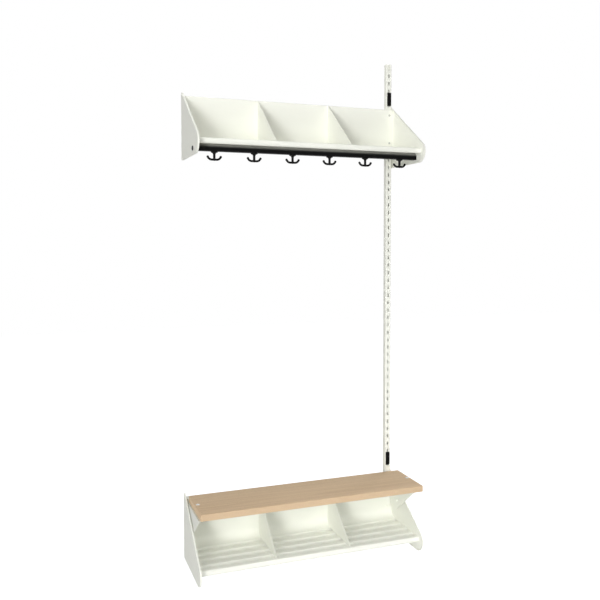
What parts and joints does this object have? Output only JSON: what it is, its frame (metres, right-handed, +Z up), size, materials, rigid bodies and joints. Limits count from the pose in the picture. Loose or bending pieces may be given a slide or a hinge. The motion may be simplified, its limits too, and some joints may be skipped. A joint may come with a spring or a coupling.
{
  "type": "wall-hung cloakroom section",
  "caption": "Open wall-hung cloakroom section: slotted upright carrying a divided hat shelf with a rail of sliding swivel hooks, above a wood bench over a divided shoe tray.",
  "frame": {"origin": "on the wall plane, on the upright's centre line, level with the bottom edge of the bench's gables", "axes": "+X to the right along the wall, +Y into the wall, +Z up"},
  "size_m": [0.9297, 0.302, 2],
  "materials": {
    "white_paint": "satin powder coat, warm white",
    "beech": "clear-lacquered beech, fine straight grain",
    "black_rail": "black anodised extrusion",
    "black_plastic": "moulded black plastic, semi-gloss",
    "black_screw": "black oxide",
    "zinc_plate": "bright zinc plate",
    "white_plastic": "white moulded cap"
  },
  "bodies": {
    "section": {"wall_upright": "white_paint", "upper_left_gable": "white_paint", "upper_right_gable": "white_paint", "hat_shelf": "white_paint", "hat_divider_left": "white_paint", "hat_divider_right": "white_paint", "upper_hanger": "white_paint", "bench_left_gable": "white_paint", "bench_right_gable": "white_paint", "shoe_tray": "white_paint", "tray_divider_left": "white_paint", "tray_divider_right": "white_paint", "bench_hanger": "white_paint", "seat_bracket_left": "white_paint", "seat_bracket_right": "white_paint", "bench_hanger_screws": "white_paint", "bracket_nuts": "white_paint", "hat_shelf_nuts": "zinc_plate", "shoe_tray_nuts": "zinc_plate", "upper_hanger_screws": "zinc_plate", "seat_screws": "zinc_plate", "seat_nuts": "zinc_plate", "bracket_spacers": "zinc_plate", "hook_rail": "black_rail", "rail_screws": "black_screw", "seat_board": "beech", "seat_screw_caps": "white_plastic"},
    "glider_1": {"hook_glider_1": "black_plastic"},
    "hook_1": {"coat_hook_1": "black_plastic"},
    "glider_2": {"hook_glider_2": "black_plastic"},
    "hook_2": {"coat_hook_2": "black_plastic"},
    "glider_3": {"hook_glider_3": "black_plastic"},
    "hook_3": {"coat_hook_3": "black_plastic"},
    "glider_4": {"hook_glider_4": "black_plastic"},
    "hook_4": {"coat_hook_4": "black_plastic"},
    "glider_5": {"hook_glider_5": "black_plastic"},
    "hook_5": {"coat_hook_5": "black_plastic"},
    "glider_6": {"hook_glider_6": "black_plastic"},
    "hook_6": {"coat_hook_6": "black_plastic"},
    "upper_lock": {"upper_lock_clip": "black_plastic"},
    "lower_lock": {"lower_lock_clip": "black_plastic"}
  },
  "joints": [
    {"name": "glider_1_slide", "type": "slide", "parent": "section", "child": "glider_1", "axis": [1, 0, 0], "range_m": [-0.035, 0.035]},
    {"name": "hook_1_swivel", "type": "hinge", "parent": "glider_1", "child": "hook_1", "pos_m": [-0.8018, -0.218, 1.555], "axis": [0, 0, 1], "continuous": true},
    {"name": "glider_2_slide", "type": "slide", "parent": "section", "child": "glider_2", "axis": [1, 0, 0], "range_m": [-0.035, 0.035]},
    {"name": "hook_2_swivel", "type": "hinge", "parent": "glider_2", "child": "hook_2", "pos_m": [-0.6518, -0.218, 1.555], "axis": [0, 0, 1], "continuous": true},
    {"name": "glider_3_slide", "type": "slide", "parent": "section", "child": "glider_3", "axis": [1, 0, 0], "range_m": [-0.035, 0.035]},
    {"name": "hook_3_swivel", "type": "hinge", "parent": "glider_3", "child": "hook_3", "pos_m": [-0.5018, -0.218, 1.555], "axis": [0, 0, 1], "continuous": true},
    {"name": "glider_4_slide", "type": "slide", "parent": "section", "child": "glider_4", "axis": [1, 0, 0], "range_m": [-0.035, 0.035]},
    {"name": "hook_4_swivel", "type": "hinge", "parent": "glider_4", "child": "hook_4", "pos_m": [-0.3518, -0.218, 1.555], "axis": [0, 0, 1], "continuous": true},
    {"name": "glider_5_slide", "type": "slide", "parent": "section", "child": "glider_5", "axis": [1, 0, 0], "range_m": [-0.035, 0.035]},
    {"name": "hook_5_swivel", "type": "hinge", "parent": "glider_5", "child": "hook_5", "pos_m": [-0.2018, -0.218, 1.555], "axis": [0, 0, 1], "continuous": true},
    {"name": "glider_6_slide", "type": "slide", "parent": "section", "child": "glider_6", "axis": [1, 0, 0], "range_m": [-0.035, 0.035]},
    {"name": "hook_6_swivel", "type": "hinge", "parent": "glider_6", "child": "hook_6", "pos_m": [-0.0518, -0.218, 1.555], "axis": [0, 0, 1], "continuous": true},
    {"name": "upper_lock_pull", "type": "slide", "parent": "section", "child": "upper_lock", "axis": [0, -1, 0], "range_m": [0, 0.0105]},
    {"name": "lower_lock_pull", "type": "slide", "parent": "section", "child": "lower_lock", "axis": [0, -1, 0], "range_m": [0, 0.0105]}
  ]
}
